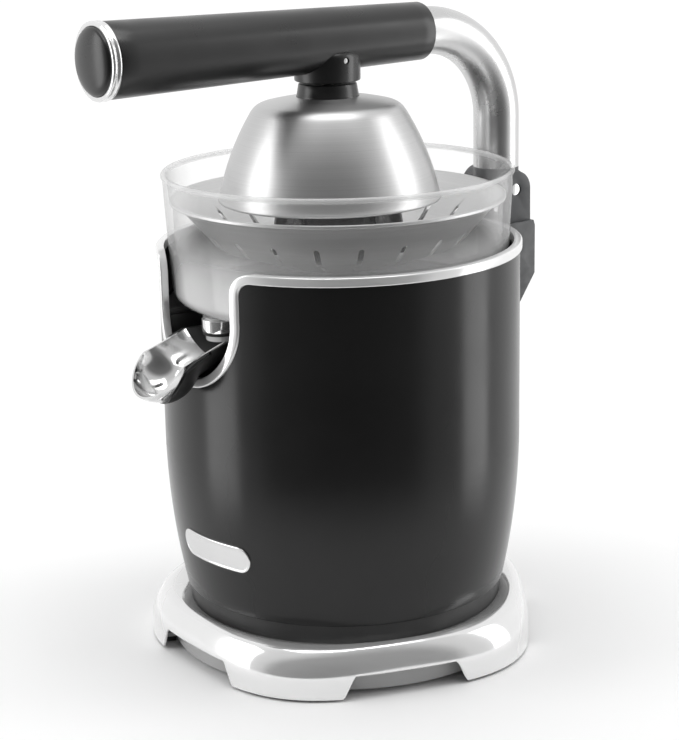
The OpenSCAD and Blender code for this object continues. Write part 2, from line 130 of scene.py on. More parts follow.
def noise(mat, scale, detail=3.0, stretch=(1, 1, 1), kind="ShaderNodeTexNoise"):
    """A noise texture in object space; stretch above 1 makes it finer along that axis."""
    tree = mat.node_tree
    place = tree.nodes.new("ShaderNodeTexCoord")
    mapping = tree.nodes.new("ShaderNodeMapping")
    mapping.inputs["Scale"].default_value = stretch
    tex = tree.nodes.new(kind)
    tex.inputs["Scale"].default_value = scale
    if "Detail" in tex.inputs:
        tex.inputs["Detail"].default_value = detail
    tree.links.new(place.outputs["Object"], mapping.inputs["Vector"])
    tree.links.new(mapping.outputs["Vector"], tex.inputs["Vector"])
    return tex.outputs[0]


def ring_noise(mat, centre, scale, fine, along=2):
    """Noise in cylinder coordinates about an axis through centre, drawn out round the axis."""
    tree = mat.node_tree
    place = tree.nodes.new("ShaderNodeTexCoord")
    shift = tree.nodes.new("ShaderNodeVectorMath")
    shift.operation = "SUBTRACT"
    shift.inputs[1].default_value = centre
    split = tree.nodes.new("ShaderNodeSeparateXYZ")
    tree.links.new(place.outputs["Object"], shift.inputs[0])
    tree.links.new(shift.outputs[0], split.inputs[0])
    a, b = [i for i in range(3) if i != along]
    squares = []
    for i in (a, b):
        m = tree.nodes.new("ShaderNodeMath")
        m.operation = "POWER"
        tree.links.new(split.outputs[i], m.inputs[0])
        m.inputs[1].default_value = 2
        squares.append(m)
    total = tree.nodes.new("ShaderNodeMath")
    total.operation = "ADD"
    tree.links.new(squares[0].outputs[0], total.inputs[0])
    tree.links.new(squares[1].outputs[0], total.inputs[1])
    root = tree.nodes.new("ShaderNodeMath")
    root.operation = "SQRT"
    tree.links.new(total.outputs[0], root.inputs[0])
    join = tree.nodes.new("ShaderNodeCombineXYZ")
    tree.links.new(root.outputs[0], join.inputs[0])
    tree.links.new(split.outputs[along], join.inputs[1])
    mapping = tree.nodes.new("ShaderNodeMapping")
    mapping.inputs["Scale"].default_value = (fine, fine, 1)
    tree.links.new(join.outputs[0], mapping.inputs["Vector"])
    tex = tree.nodes.new("ShaderNodeTexNoise")
    tex.inputs["Scale"].default_value = scale
    tex.inputs["Detail"].default_value = 4
    tree.links.new(mapping.outputs[0], tex.inputs["Vector"])
    return tex.outputs[0]


def vary(mat, socket, source, low, high, at=(0.3, 0.7)):
    """Drives a socket from a noise between two values."""
    tree = mat.node_tree
    span = tree.nodes.new("ShaderNodeMapRange")
    span.inputs["From Min"].default_value, span.inputs["From Max"].default_value = at
    span.inputs["To Min"].default_value, span.inputs["To Max"].default_value = low, high
    tree.links.new(source, span.inputs["Value"])
    tree.links.new(span.outputs[0], tree.nodes["Principled BSDF"].inputs[socket])


def tint(mat, source, dark, light, at=(0.3, 0.7)):
    """Mixes two base colours by a noise."""
    tree = mat.node_tree
    ramp = tree.nodes.new("ShaderNodeValToRGB")
    ramp.color_ramp.elements[0].position, ramp.color_ramp.elements[1].position = at
    ramp.color_ramp.elements[0].color = (*dark, 1)
    ramp.color_ramp.elements[1].color = (*light, 1)
    tree.links.new(source, ramp.inputs[0])
    tree.links.new(ramp.outputs[0], tree.nodes["Principled BSDF"].inputs["Base Color"])


def bump(mat, source, strength, depth):
    tree = mat.node_tree
    node = tree.nodes.new("ShaderNodeBump")
    node.inputs["Strength"].default_value = strength
    node.inputs["Distance"].default_value = depth
    last = tree.nodes["Principled BSDF"].inputs["Normal"]
    if last.links:
        tree.links.new(last.links[0].from_socket, node.inputs["Normal"])
    tree.links.new(source, node.inputs["Height"])
    tree.links.new(node.outputs[0], last)


def grey(v):
    return (v, v, v)


def make_materials():
    m = {}
    # polished chrome: a faint waviness and a trace of handling haze
    for name, tone, metal, rough in (("foot_chrome", 0.92, 0.7, 0.06), ("trim_chrome", 0.97, 0.5, 0.14),
                                     ("ring_chrome", 0.90, 0.85, 0.06)):
        c = material(name, grey(tone), metal, rough)
        vary(c, "Roughness", noise(c, 26, 4), rough * 0.7, rough * 2.0)
        tint(c, noise(c, 9, 2), grey(tone * 0.96), grey(tone))
        bump(c, noise(c, 14, 1), 0.03, 0.0004)
        m[name] = c
    c = material("badge_silver", grey(0.74), 1.0, 0.22)
    vary(c, "Roughness", noise(c, 60, 3), 0.18, 0.30)
    bump(c, noise(c, 900, 2, (1, 1, 8)), 0.10, 0.00004)
    m["badge_silver"] = c
    # gloss black moulding: deep colour, slight orange peel, finest dust and hairlines in the coat
    c = material("body_black", grey(0.012), 0.0, 0.20, Specular_IOR_Level=0.35)
    vary(c, "Roughness", noise(c, 30, 5), 0.17, 0.24)
    tint(c, noise(c, 12, 3), grey(0.010), grey(0.015))
    bump(c, noise(c, 120, 2), 0.02, 0.0002)
    m["body_black"] = c
    c = material("grip_black", grey(0.012), 0.0, 0.30, Coat_Weight=0.12, Coat_Roughness=0.18)
    vary(c, "Roughness", noise(c, 45, 5), 0.26, 0.37)
    tint(c, noise(c, 20, 3), grey(0.010), grey(0.015))
    bump(c, noise(c, 1600, 2), 0.05, 0.00003)
    m["grip_black"] = c
    c = material("dark_plastic", grey(0.020), 0.0, 0.42)
    vary(c, "Roughness", noise(c, 60, 4), 0.36, 0.50)
    tint(c, noise(c, 25, 3), grey(0.016), grey(0.026))
    bump(c, noise(c, 1800, 3), 0.12, 0.00004)
    m["dark_plastic"] = c
    c = material("tray_grey", grey(0.42), 0.0, 0.46)
    vary(c, "Roughness", noise(c, 50, 4), 0.40, 0.55)
    tint(c, noise(c, 20, 3), grey(0.38), grey(0.45))
    bump(c, noise(c, 1500, 3), 0.12, 0.00005)
    m["tray_grey"] = c
    c = material("frame_grey", (0.075, 0.077, 0.082), 0.0, 0.5)
    tint(c, noise(c, 300, 5), (0.060, 0.062, 0.066), (0.095, 0.097, 0.10))
    bump(c, noise(c, 900, 4), 0.15, 0.00006)
    m["frame_grey"] = c
    # painted casting: fine texture, slightly polished high spots
    c = material("bracket_grey", (0.052, 0.054, 0.057), 0.0, 0.40)
    tint(c, noise(c, 70, 4), (0.045, 0.047, 0.050), (0.062, 0.064, 0.067))
    vary(c, "Roughness", noise(c, 200, 4), 0.33, 0.48)
    bump(c, noise(c, 1400, 3), 0.16, 0.00006)
    m["bracket_grey"] = c
    c = material("pad_rubber", grey(0.018), 0.0, 0.8)
    tint(c, noise(c, 80, 4), grey(0.013), grey(0.026))
    bump(c, noise(c, 2500, 3), 0.3, 0.00005)
    m["pad_rubber"] = c
    c = material("screw_steel", grey(0.62), 1.0, 0.32)
    vary(c, "Roughness", noise(c, 300, 4), 0.25, 0.42)
    m["screw_steel"] = c
    c = material("shaft_steel", grey(0.72), 1.0, 0.20)
    vary(c, "Roughness", noise(c, 200, 4), 0.15, 0.28)
    m["shaft_steel"] = c
    # satin tube: fine polish lines and slow variation
    c = material("tube_steel", grey(0.66), 1.0, 0.28)
    vary(c, "Roughness", noise(c, 40, 5), 0.24, 0.33)
    tint(c, noise(c, 15, 3), grey(0.61), grey(0.70))
    bump(c, noise(c, 1500, 3), 0.05, 0.00003)
    m["tube_steel"] = c
    # dome: spun and brushed round its axis
    c = material("dome_steel", grey(0.60), 1.0, 0.38, Anisotropic=0.4,
                 Anisotropic_Rotation=0.25)
    rings = ring_noise(c, JOINT["dome_tilt"]["pos_m"], 3000, 1)
    vary(c, "Roughness", rings, 0.34, 0.43)
    tint(c, rings, grey(0.55), grey(0.63))
    bump(c, rings, 0.05, 0.00002)
    m["dome_steel"] = c
    c = material("spout_steel", grey(0.78), 1.0, 0.10)
    vary(c, "Roughness", noise(c, 90, 4), 0.07, 0.16)
    bump(c, noise(c, 60, 2), 0.06, 0.0003)
    m["spout_steel"] = c
    c = material("strainer_steel", grey(0.66), 0.72, 0.36)
    rings = ring_noise(c, (0, 0, 0), 900, 1)
    vary(c, "Roughness", rings, 0.33, 0.44)
    tint(c, rings, grey(0.61), grey(0.70))
    bump(c, rings, 0.08, 0.00005)
    m["strainer_steel"] = c
    # clear polycarbonate with faint flow marks
    c = material("bowl_clear", grey(0.86), 0.0, 0.04)
    bump(c, noise(c, 18, 2), 0.05, 0.0004)
    edge = c.node_tree.nodes.new("ShaderNodeLayerWeight")
    edge.inputs["Blend"].default_value = 0.5
    # base colour darkens towards grazing angles: painted shade along the bowl's edges, standing in for
    # refraction
    tint(c, edge.outputs["Facing"], grey(0.95), grey(0.20), (0.62, 1.0))
    vary(c, "Alpha", edge.outputs["Facing"], 0.04, 0.62, (0.45, 1.0))
    # the lower bowl is made more opaque so its pale colour shows, a painted brightening where it sits in
    # shade under the strainer; a thin band at the rim bead is made more opaque as a painted highlight line
    tree = c.node_tree
    shader = tree.nodes["Principled BSDF"]
    place, split = tree.nodes.new("ShaderNodeTexCoord"), tree.nodes.new("ShaderNodeSeparateXYZ")
    tree.links.new(place.outputs["Object"], split.inputs[0])
    # painted light: below the strainer the bowl turns opaque so its pale colour brightens it where it sits in
    # shade
    low = tree.nodes.new("ShaderNodeMapRange")
    low.interpolation_type = "SMOOTHSTEP"
    low.inputs["From Min"].default_value, low.inputs["From Max"].default_value = 0.200, 0.250
    low.inputs["To Min"].default_value, low.inputs["To Max"].default_value = 0.58, 0.0
    # painted highlight: a thin band at the rim bead turned opaque so its pale colour reads as a bright line
    rim = tree.nodes.new("ShaderNodeMapRange")
    rim.inputs["From Min"].default_value, rim.inputs["From Max"].default_value = 0.2628, 0.2634
    rim.inputs["To Min"].default_value, rim.inputs["To Max"].default_value = 0.0, 0.42
    for band in (low, rim):
        tree.links.new(split.outputs[2], band.inputs["Value"])
        more = tree.nodes.new("ShaderNodeMath")
        more.operation = "MAXIMUM"
        tree.links.new(shader.inputs["Alpha"].links[0].from_socket, more.inputs[0])
        tree.links.new(band.outputs[0], more.inputs[1])
        tree.links.new(more.outputs[0], shader.inputs["Alpha"])
    m["bowl_clear"] = c
    c = material("bushing_bronze", (0.60, 0.40, 0.17), 1.0, 0.38)
    tint(c, noise(c, 900, 4), (0.50, 0.33, 0.14), (0.66, 0.45, 0.20))
    m["bushing_bronze"] = c
    c = material("gear_nylon", (0.72, 0.69, 0.58), 0.0, 0.42, Subsurface_Weight=0.1)
    tint(c, noise(c, 60, 4), (0.68, 0.65, 0.54), (0.75, 0.72, 0.62))
    m["gear_nylon"] = c
    c = material("motor_steel", (0.42, 0.43, 0.44), 1.0, 0.36)
    vary(c, "Roughness", noise(c, 80, 5), 0.30, 0.46)
    m["motor_steel"] = c
    c = material("winding_copper", (0.50, 0.23, 0.10), 1.0, 0.35)
    bump(c, noise(c, 300, 2, (1, 1, 12)), 0.4, 0.0003)
    m["winding_copper"] = c
    c = material("reamer_black", grey(0.020), 0.0, 0.22)
    vary(c, "Roughness", noise(c, 60, 4), 0.17, 0.30)
    tint(c, noise(c, 30, 3), grey(0.016), grey(0.026))
    m["reamer_black"] = c
    return m


MAT = make_materials()
SLOT = {s["node"]: s["material_slot"] for s in frame["record"]["subparts"]}


# ---------------------------------------------------------------- mesh helpers

def piece(name, verts, faces, node, smooth=35, stands_for=True):
    """A mesh piece in metres that rides on a CAD node's body, and stands for that node unless
    it's an extra beside it."""
    mesh = bpy.data.meshes.new(name)
    mesh.from_pydata([tuple(v) for v in verts], [], faces)
    mesh.validate()
    bm = bmesh.new()
    bm.from_mesh(mesh)
    bmesh.ops.remove_doubles(bm, verts=bm.verts, dist=1e-6)
    bmesh.ops.recalc_face_normals(bm, faces=bm.faces)
    bm.to_mesh(mesh)
    bm.free()
    ob = bpy.data.objects.new(name, mesh)
    scene.collection.objects.link(ob)
    ob.data.materials.append(MAT[SLOT[node]])
    shade(ob, smooth)
    body = NODES[node]["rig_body"]
    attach(ob, body)
    if stands_for:
        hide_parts(node)
    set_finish(ob, SLOT[node])
    return ob


def shade(ob, angle=35):
    """Smooth shading with edges kept sharp above an angle."""
    ob.data.polygons.foreach_set("use_smooth", [True] * len(ob.data.polygons))
    bm = bmesh.new()
    bm.from_mesh(ob.data)
    for e in bm.edges:
        e.smooth = not (len(e.link_faces) == 2 and e.calc_face_angle(0) > math.radians(angle))
    bm.to_mesh(ob.data)
    bm.free()


def axis_point(r, a, h, axis, at):
    """Point at radius r, angle a from the front and height h along an axis."""
    if axis == "z":
        return (at[0] + r * math.sin(a), at[1] - r * math.cos(a), at[2] + h)
    if axis == "y":
        return (at[0] + r * math.sin(a), at[1] + h, at[2] + r * math.cos(a))
    return (at[0] + h, at[1] + r * math.sin(a), at[2] + r * math.cos(a))


def lathe(profile, axis="z", at=(0, 0, 0), segs=192, closed=True, turn=(0, 360)):
    """Revolves (radius, height) points, in metres. Points on the axis make fans."""
    verts, faces, rows = [], [], []
    full = turn[1] - turn[0] == 360
    count = segs if full else segs + 1
    for r, h in profile:
        if r < 1e-7:
            rows.append([len(verts)] * count)
            verts.append(axis_point(0, 0, h, axis, at))
            continue
        row = []
        for i in range(count):
            a = math.radians(turn[0] + (turn[1] - turn[0]) * i / segs)
            row.append(len(verts))
            verts.append(axis_point(r, a, h, axis, at))
        rows.append(row)
    pairs = list(zip(rows, rows[1:])) + ([(rows[-1], rows[0])] if closed else [])
    for p, q in pairs:
        for i in range(segs):
            j = (i + 1) % count
            f = []
            for v in (p[i], p[j], q[j], q[i]):
                if v not in f:
                    f.append(v)
            if len(f) > 2:
                faces.append(f)
    return verts, faces


def arc(cx, cz, r, a0, a1, n=8):
    """Points on a circle from angle a0 to a1 in degrees, 0 pointing outward and 90 up."""
    return [(cx + r * math.cos(math.radians(a0 + (a1 - a0) * i / n)),
             cz + r * math.sin(math.radians(a0 + (a1 - a0) * i / n))) for i in range(n + 1)]


def rounded(points, radius, n=5):
    """Rounds every corner of a closed (radius, height) outline that has room for it."""
    out = []
    count = len(points)
    for i, p in enumerate(points):
        a, b = Vector(points[i - 1]), Vector(points[(i + 1) % count])
        p = Vector(p)
        rad = radius[i] if isinstance(radius, (list, tuple)) else radius
        u, w = (a - p), (b - p)
        lu, lw = u.length, w.length
        if rad <= 0 or lu < 1e-9 or lw < 1e-9:
            out.append(tuple(p))
            continue
        u, w = u / lu, w / lw
        angle = math.acos(max(-1, min(1, u.dot(w))))
        if angle > math.radians(174):
            out.append(tuple(p))
            continue
        cut = min(rad / math.tan(angle / 2), lu * 0.49, lw * 0.49)
        s, e = p + u * cut, p + w * cut
        for k in range(n + 1):
            t = k / n
            q = s * (1 - t) ** 2 + p * 2 * t * (1 - t) + e * t ** 2
            out.append(tuple(q))
    return out


def mm(points):
    return [(r * MM, h * MM) for r, h in points]


def add(*parts):
    """Joins (verts, faces) pairs into one."""
    verts, faces = [], []
    for v, f in parts:
        k = len(verts)
        verts += v
        faces += [[i + k for i in g] for g in f]
    return verts, faces


def boolean(ob, cutters, smooth=35):
    """Cuts closed (verts, faces) solids out of a piece and applies the result."""
    for v, f in cutters:
        mesh = bpy.data.meshes.new("cutter")
        mesh.from_pydata([tuple(p) for p in v], [], f)
        bm = bmesh.new()
        bm.from_mesh(mesh)
        bmesh.ops.remove_doubles(bm, verts=bm.verts, dist=1e-6)
        bmesh.ops.recalc_face_normals(bm, faces=bm.faces)
        bm.to_mesh(mesh)
        bm.free()
        tool = bpy.data.objects.new("cutter", mesh)
        scene.collection.objects.link(tool)
        mod = ob.modifiers.new("cut", "BOOLEAN")
        mod.operation, mod.solver, mod.object = "DIFFERENCE", "EXACT", tool
        bpy.context.view_layer.update()
        dg = bpy.context.evaluated_depsgraph_get()
        made = bpy.data.meshes.new_from_object(ob.evaluated_get(dg))
        ob.modifiers.remove(mod)
        old = ob.data
        ob.data = made
        bpy.data.meshes.remove(old)
        bpy.data.objects.remove(tool)
        bpy.data.meshes.remove(mesh)
    if not ob.data.materials:
        ob.data.materials.append(MAT[ob["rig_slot"]])
    shade(ob, smooth)


def bevel(ob, width, segments=3, angle=40):
    mod = ob.modifiers.new("edges", "BEVEL")
    mod.width, mod.segments = width, segments
    mod.limit_method, mod.angle_limit = "ANGLE", math.radians(angle)
    mod.harden_normals = False
    return mod


def prism(outline, place, depth0, depth1):
    """Closed prism of an outline; place(u, v, d) gives the point in the row frame."""
    n = len(outline)
    verts = [place(u, v, depth0) for u, v in outline] + [place(u, v, depth1) for u, v in outline]
    faces = [list(range(n))[::-1], [i + n for i in range(n)]]
    faces += [[i, (i + 1) % n, (i + 1) % n + n, i + n] for i in range(n)]
    return verts, faces


# ---------------------------------------------------------------- sizes from the frame

shell_lo, shell_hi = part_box("body_shell")
trim_lo, trim_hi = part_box("shell_trim")
BODY_R = shell_hi.x
BODY_LOW = shell_lo.z
BODY_TOP = trim_hi.z
TRIM_OUT = trim_hi.x
TRIM_IN = TRIM_OUT - 4.6 * MM
SLOT_R = 33 * MM
BAND = 5 * MM
SLOT_Z = trim_lo.z + SLOT_R + BAND
CORNER_X, CORNER_Z = SLOT_R + 12 * MM, BODY_TOP - 12 * MM
SIDE_ARC, SIDE_Z = 0.405, 0.120
TILT_Y, TILT_Z = JOINT["dome_tilt"]["pos_m"][1:]


def side_r(z):
    """Outer radius of the body side at height z."""
    if z >= SIDE_Z:
        return BODY_R
    return BODY_R - SIDE_ARC + math.sqrt(SIDE_ARC ** 2 - (SIDE_Z - z) ** 2)


def slot_path(steps=10):
    """The inner edge of the slot from the left top corner down round the U to the right one.
    Each item is x, z and the direction from the slot into the body."""
    pts = []
    for i in range(steps + 1):
        a = math.radians(90 - 90 * i / steps)
        pts.append((-CORNER_X + 12 * MM * math.cos(a), CORNER_Z + 12 * MM * math.sin(a),
                    -math.cos(a), -math.sin(a)))
    for i in range(1, 5):
        t = i / 5
        pts.append((-SLOT_R, CORNER_Z + (SLOT_Z - CORNER_Z) * t, -1, 0))
    for i in range(5 * steps + 1):
        a = math.radians(180 + 180 * i / (5 * steps))
        pts.append((SLOT_R * math.cos(a), SLOT_Z + SLOT_R * math.sin(a), math.cos(a), math.sin(a)))
    right = [(-x, z, -nx, nz) for x, z, nx, nz in pts[:steps + 5]]
    return pts + right[::-1]


def slot_outline(grow):
    """Closed outline of the front slot, grown into the body by a distance."""
    pts = [(x + nx * grow, z + nz * grow) for x, z, nx, nz in slot_path()]
    top = BODY_TOP + 0.03
    return [(pts[0][0], top)] + pts + [(pts[-1][0], top)]


# ---------------------------------------------------------------- body

def build_shell():
    rise = SIDE_Z - BODY_LOW
    outer = [(side_r(BODY_LOW + rise * i / 24), BODY_LOW + rise * i / 24) for i in range(25)]
    outer[0] = (outer[0][0] - 0.6 * MM, outer[0][1])
    outer.insert(1, (side_r(BODY_LOW + 0.6 * MM), BODY_LOW + 0.6 * MM))
    top = BODY_TOP - BAND + 0.5 * MM
    outer += [(BODY_R, SIDE_Z + (top - SIDE_Z) * i / 4) for i in range(1, 5)]
    t = 3 * MM
    inner = [(BODY_R - t, top), (BODY_R - t, SIDE_Z)]
    inner += [(side_r(SIDE_Z - rise * i / 8) - t, SIDE_Z - rise * i / 8) for i in range(1, 8)]
    inner += [(side_r(BODY_LOW) - t, BODY_LOW + t), (0.084, BODY_LOW + t), (0.084, BODY_LOW)]
    ob = piece("body_shell_gloss", *lathe(outer + inner, segs=256), "body_shell")
    cut = prism(slot_outline(BAND - 0.5 * MM), lambda u, v, d: (u, d, v), -0.12, -0.05)
    boolean(ob, [cut])
    return ob


def build_trim():
    """Chrome band: one rounded section carried round the rim and down round the slot."""
    w, lo, hi = BAND, TRIM_IN, TRIM_OUT
    section = rounded([(0, lo), (0, hi), (w, hi), (w, lo)], [0.5 * MM, 1.1 * MM, 0.9 * MM, 0.3 * MM], 5)
    path = slot_path(12)
    start = math.asin(CORNER_X / BODY_R)
    rings = []
    for x, z, nx, nz in path:
        ring = []
        for s, r in section:
            px = x + nx * s
            ring.append((px, -math.sqrt(r * r - px * px), z + nz * s))
        rings.append(ring)
    steps = 150
    for i in range(1, steps):
        a = start + (2 * math.pi - 2 * start) * i / steps
        rings.append([(r * math.sin(a), -r * math.cos(a), BODY_TOP - s) for s, r in section])
    verts = [p for ring in rings for p in ring]
    k, n = len(section), len(rings)
    faces = [[i * k + j, i * k + (j + 1) % k, ((i + 1) % n) * k + (j + 1) % k, ((i + 1) % n) * k + j]
             for i in range(n) for j in range(k)]
    return piece("shell_trim_band", verts, faces, "shell_trim", 60)


def build_badge():
    """Blank stadium plate bent to the body, with a raised rim."""
    lo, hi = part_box("badge")
    zc = (lo.z + hi.z) / 2
    turn = math.atan2((lo.x + hi.x) / 2, -(lo.y + hi.y) / 2 - 0.004)
    r = (hi.z - lo.z) / 2
    half, n = 20 * MM, 24
    # distance in from the edge and height above the body
    loops = [(0, -0.2), (0, 0.55), (0.15, 0.78), (0.4, 0.9), (0.95, 0.9), (1.2, 0.78),
             (1.45, 0.68), (1.9, 0.66), (4.5, 0.66), (r / MM, 0.66)]
    outline = [(-half + 2 * half * i / n, 0, 1) for i in range(n)]
    outline += [(half, math.sin(math.pi * i / n), math.cos(math.pi * i / n)) for i in range(n)]
    outline += [(half - 2 * half * i / n, 0, -1) for i in range(n)]
    outline += [(-half, -math.sin(math.pi * i / n), -math.cos(math.pi * i / n)) for i in range(n)]
    verts, faces = [], []
    for inward, up in loops:
        rad = r - inward * MM
        for x, dx, dz in outline:
            x, z = x + dx * rad, dz * rad
            ang = turn + x / side_r(zc)
            rr = side_r(zc + z) + up * MM
            verts.append((rr * math.sin(ang), -rr * math.cos(ang), zc + z))
    k = len(outline)
    for i in range(len(loops) - 1):
        for j in range(k):
            m = (j + 1) % k
            faces.append([i * k + j, i * k + m, (i + 1) * k + m, (i + 1) * k + j])
    return piece("badge_plate", verts, faces, "badge", 40)


def build_neck():
    lo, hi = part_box("neck_ring")
    r, z0, z1 = hi.x, lo.z, hi.z
    pts = rounded([(r, z0), (r, z1 - 0.2 * MM), (r - 2.5 * MM, z1 - 0.2 * MM), (r - 2.5 * MM, z0)], 0.4 * MM)
    return piece("neck_band", *lathe(pts, segs=192), "neck_ring")


# ---------------------------------------------------------------- foot

FEET = 5
FOOT_STEP = 360 / FEET
# degrees from the middle of an arch at which its flank starts and ends
FLANK_START, FLANK_END = 15.4, 19.2
NECK_R = 88.05 * MM
LOBE = 3.5 * MM


def foot_low(a):
    """Height of the foot's lower edge at angle a from the front: feet, arches and their flanks."""
    d = abs((math.degrees(a) + FOOT_STEP / 2) % FOOT_STEP - FOOT_STEP / 2)
    top, low = 13.5 * MM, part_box("base_shroud")[0].z
    t = (d - FLANK_START) / (FLANK_END - FLANK_START)
    t = max(0.0, min(1.0, t))
    s = t * t * (3 - 2 * t) * 0.55 + t * 0.45
    return top + (low - top) * s


def lobe(a):
    """How far the foot swells outward at angle a: out at the feet, in at the arches, level
    where the cord comes in at the back."""
    back = abs(abs((math.degrees(a) + 180) % 360 - 180) - 180)
    t = max(0.0, min(1.0, (back - 6) / 14))
    return -LOBE * math.cos(FEET * a) * t * t * (3 - 2 * t)


def build_foot():
    """Chrome foot as one wall whose lower edge rises in five arches."""
    lo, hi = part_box("base_shroud")
    r_out = (hi.x - lo.x) / 2
    low_arc, ra = 10 * MM, 25 * MM
    cx = r_out - ra
    t = 1.5 * MM
    top = mm([(NECK_R / MM, 24.75), (88.6, 25.1), (90.5, 25.9), (93.0, 26.95), (95.0, 27.7),
              (96.4, 28.0), (97.6, 27.85)])
    a0 = math.degrees(math.asin((27.3 - 10) / 25))
    curve = arc(cx, low_arc, ra, a0 - 1.5, 0, 16)
    inner_top = arc(cx, low_arc, ra - t, 0, a0 - 2, 12)
    inner_end = mm([(96.3, 26.5), (93, 25.4), (NECK_R / MM, 23.3)])
    # foot, flank, arch, flank, foot: from, to and how many rings, measured from the arch's middle
    half = FOOT_STEP / 2
    spans = ((-half, -FLANK_END, 10), (-FLANK_END, -FLANK_START, 16), (-FLANK_START, FLANK_START, 18),
             (FLANK_START, FLANK_END, 16), (FLANK_END, half, 10))
    angles = [k * FOOT_STEP + a + (b - a) * i / n
              for k in range(FEET) for a, b, n in spans for i in range(n)]
    verts, rings = [], []
    for deg in angles:
        a = math.radians(deg)
        z = foot_low(a)
        e = t / 2
        ring = list(top) + list(curve)
        # past the arc's foot the wall is straight; an arch cuts up into the arc
        if z > low_arc:
            ring = [p for p in ring if p[1] > z + e]
        rz = cx + math.sqrt(max(0, ra ** 2 - max(0, z + e - low_arc) ** 2))
        ring = ring[:len(top)] + resample(ring[len(top):] + [(rz, z + e)], 20)
        lip = [(rz - e + e * math.cos(math.radians(b)), z + e - e * math.sin(math.radians(b)))
               for b in (20, 45, 70, 90, 110, 135, 160)]
        inner = [p for p in inner_top if p[1] > z + e]
        inner = resample([(rz - 2 * e, z + e)] + inner, 16) + inner_end
        ring = ring + lip + inner
        for r, h in ring:
            r += lobe(a) * max(0, (r - NECK_R) / (r_out - NECK_R))
            verts.append((r * math.sin(a), -r * math.cos(a), h))
        rings.append(len(ring))
    k, n = rings[0], len(rings)
    assert all(x == k for x in rings)
    faces = [[i * k + j, i * k + (j + 1) % k, ((i + 1) % n) * k + (j + 1) % k, ((i + 1) % n) * k + j]
             for i in range(n) for j in range(k)]
    return piece("foot_shroud", verts, faces, "base_shroud", 50)


def resample(points, n):
    """n points evenly spaced along a polyline."""
    lengths = [0]
    for a, b in zip(points, points[1:]):
        lengths.append(lengths[-1] + math.dist(a, b))
    out, k = [], 0
    for i in range(n):
        want = lengths[-1] * i / (n - 1)
        while k < len(points) - 2 and lengths[k + 1] < want:
            k += 1
        span = lengths[k + 1] - lengths[k]
        t = 0 if span < 1e-12 else (want - lengths[k]) / span
        out.append(tuple(points[k][j] + (points[k + 1][j] - points[k][j]) * t for j in (0, 1)))
    return out


# ---------------------------------------------------------------- bowl, strainer, outlet

def build_bowl():
    """Clear bowl with a rim bead, a centre boss with six ribs and an outlet pipe."""
    wall = [(8, 214), (8, 196)]
    bottom = arc(84, 204, 8, -90, -2, 10)
    side = [(92.6, 214), (93.6, 232), (94.6, 250), (95.0, 258.0), (95.3, 262.9)]
    bead = arc(94.6, 264.5, 1.5, -35, 200, 12)
    inner = [(92.8, 262.9), (91.9, 250.2), (91.6, 249.5), (90.3, 249.5), (90.1, 248.6), (89.8, 230),
             (89.5, 206)]
    inner += arc(84, 204, 5.5, 0, -90, 8)
    inner += [(60, 198.5), (30, 198.5), (12, 198.5), (10.9, 199.2), (10.5, 200.5), (10.2, 213.2),
              (9.8, 213.9)]
    shell = lathe(mm(wall + bottom + side + bead + inner), segs=192)
    rib = mm([(10.4, 198.6), (26, 198.6), (26, 199.6), (24.5, 203), (14, 206.4), (10.4, 207)])
    ribs = []
    for k in range(6):
        a = math.radians(30 + 60 * k)
        c, s = math.cos(a), math.sin(a)

        def place(u, v, d, c=c, s=s):
            return (u * c - d * s, u * s + d * c, v)
        ribs.append(prism(rib, place, -1 * MM, 1 * MM))
    y = (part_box("outlet_ring")[0].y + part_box("outlet_ring")[1].y) / 2
    pipe = lathe(mm([(6.3, 195.9), (6.1, 184), (6.5, 183.1), (7.4, 183), (7.8, 183.6), (7.8, 192),
                     (8.0, 194.6), (8.9, 195.9)]), at=(0, y, 0), segs=64)
    return piece("juice_bowl_clear", *add(shell, pipe, *ribs), "juice_bowl", 45)


def build_outlet_rings():
    out = []
    for node, name, r in (("outlet_seal", "outlet_o_ring", 0.7), ("outlet_ring", "outlet_collar", 0.5)):
        lo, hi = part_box(node)
        y, ro, ri = (lo.y + hi.y) / 2, (hi.x - lo.x) / 2, 7.85 * MM
        pts = rounded([(ro, lo.z), (ro, hi.z), (ri, hi.z), (ri, lo.z)], [r * MM, r * MM, 0.1 * MM, 0.1 * MM])
        out.append(piece(name, *lathe(pts, at=(0, y, 0), segs=64), node))
    return out


def build_strainer():
    """Dished strainer with two rings of round-ended slots."""
    up = [(91.3, 249.7), (91.5, 250.3), (91.3, 251.1), (90.6, 251.35), (88.7, 251.2), (87.6, 250.5),
          (80, 241.8), (73.5, 234.4), (67.2, 227.7), (65.2, 226.4), (60, 224.6), (38.5, 217.0),
          (36, 216.3), (30, 216.1), (13.0, 216), (12.5, 215.7)]
    down = [(12.6, 215.1), (30, 215.1), (36.2, 215.3), (39, 216.1), (60.3, 223.6), (66.2, 225.6),
            (68.0, 226.8), (74.2, 233.6), (80.8, 241.1), (88.3, 249.6), (89.3, 250.0)]
    ob = piece("strainer_dish", *lathe(mm(up + down), segs=200), "strainer", 50)
    cutters = []
    for count, r0, r1, w in ((20, 61, 76, 1.6), (20, 43, 56, 1.1)):
        for i in range(count):
            a = math.radians((i + 0.5) * 360 / count)
            c, s = math.cos(a), math.sin(a)
            outline = [(r0 + w - w * math.cos(math.radians(b)), w * math.sin(math.radians(b)))
                       for b in range(-90, 91, 30)]
            outline += [(r1 - w + w * math.cos(math.radians(b)), w * math.sin(math.radians(b)))
                        for b in range(90, -91, -30)]
            cutters.append(prism(mm(outline), lambda u, v, d, c=c, s=s: (u * c - v * s, u * s + v * c, d),
                                 0.205, 0.249))
    boolean(ob, [add(*cutters)], 50)
    return ob


# ---------------------------------------------------------------- press

